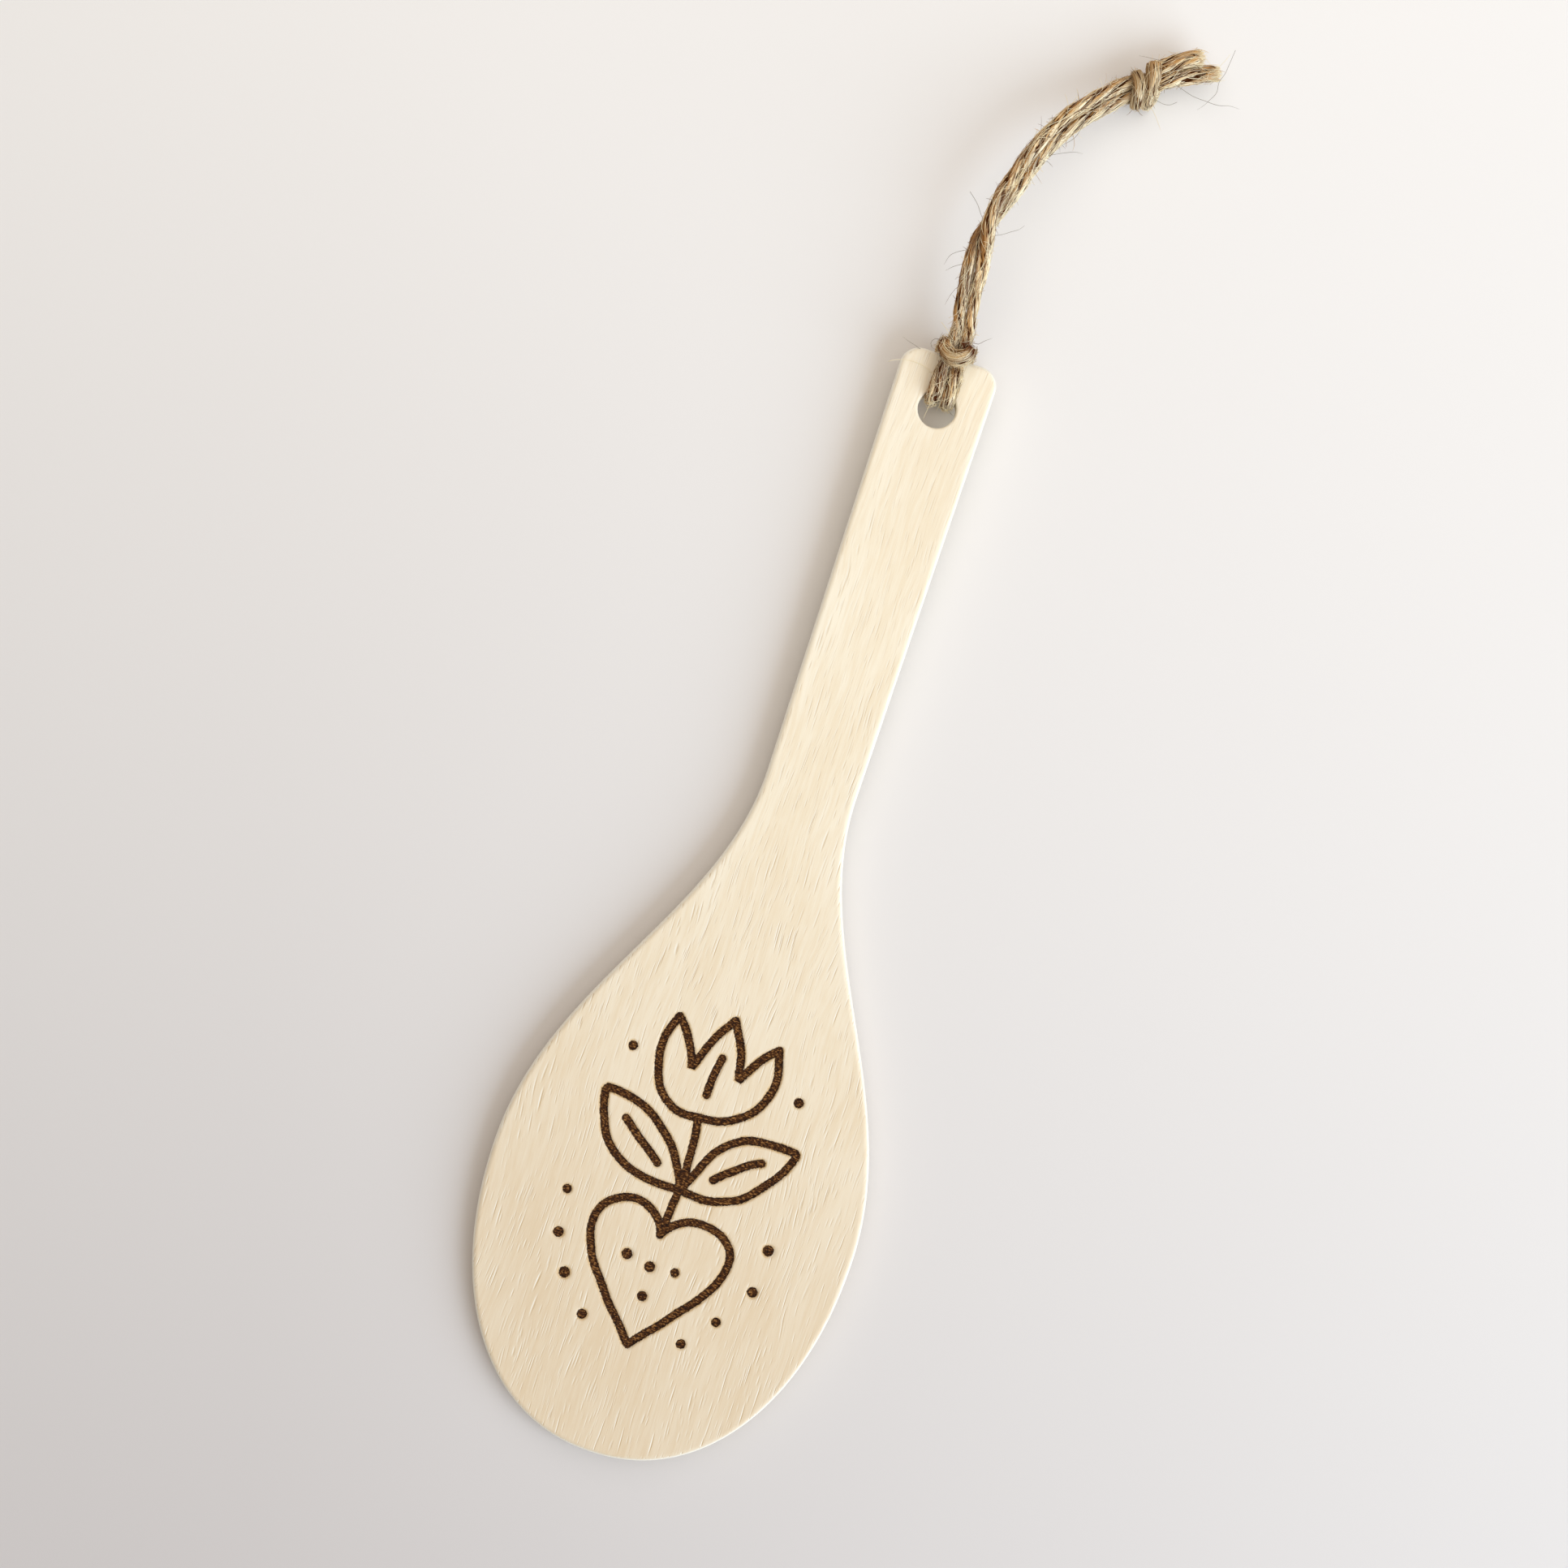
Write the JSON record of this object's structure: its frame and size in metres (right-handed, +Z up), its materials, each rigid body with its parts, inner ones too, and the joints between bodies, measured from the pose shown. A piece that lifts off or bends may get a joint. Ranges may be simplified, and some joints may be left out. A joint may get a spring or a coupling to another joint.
{
  "type": "wooden spoon ornament",
  "caption": "Flat spoon-shaped wooden ornament with a round hole in its handle and a knotted jute twine loop to hang it by.",
  "frame": {"origin": "middle of the footprint of the wood and the hitch, on the surface that the ornament lies on", "axes": "+Y along the handle towards its hole, +Z up out of the spoon's face, +X to the right seen from above"},
  "size_m": [0.0492, 0.1977, 0.0115],
  "materials": {
    "wood": "sanded, unvarnished, with burnt brown marks",
    "jute": "rough plied natural fibre"
  },
  "bodies": {
    "spoon": {"spoon_blank": "wood", "twine_hitch": "jute"},
    "loop": {"loop_strand_left": "jute", "loop_strand_right": "jute", "end_knot": "jute", "tail_short": "jute", "tail_long": "jute"}
  },
  "joints": [
    {"name": "loop_swing", "type": "hinge", "parent": "spoon", "child": "loop", "pos_m": [0, 0.0777, 0.00774], "axis": [1, 0, 0], "range_deg": [-80, 95]}
  ]
}
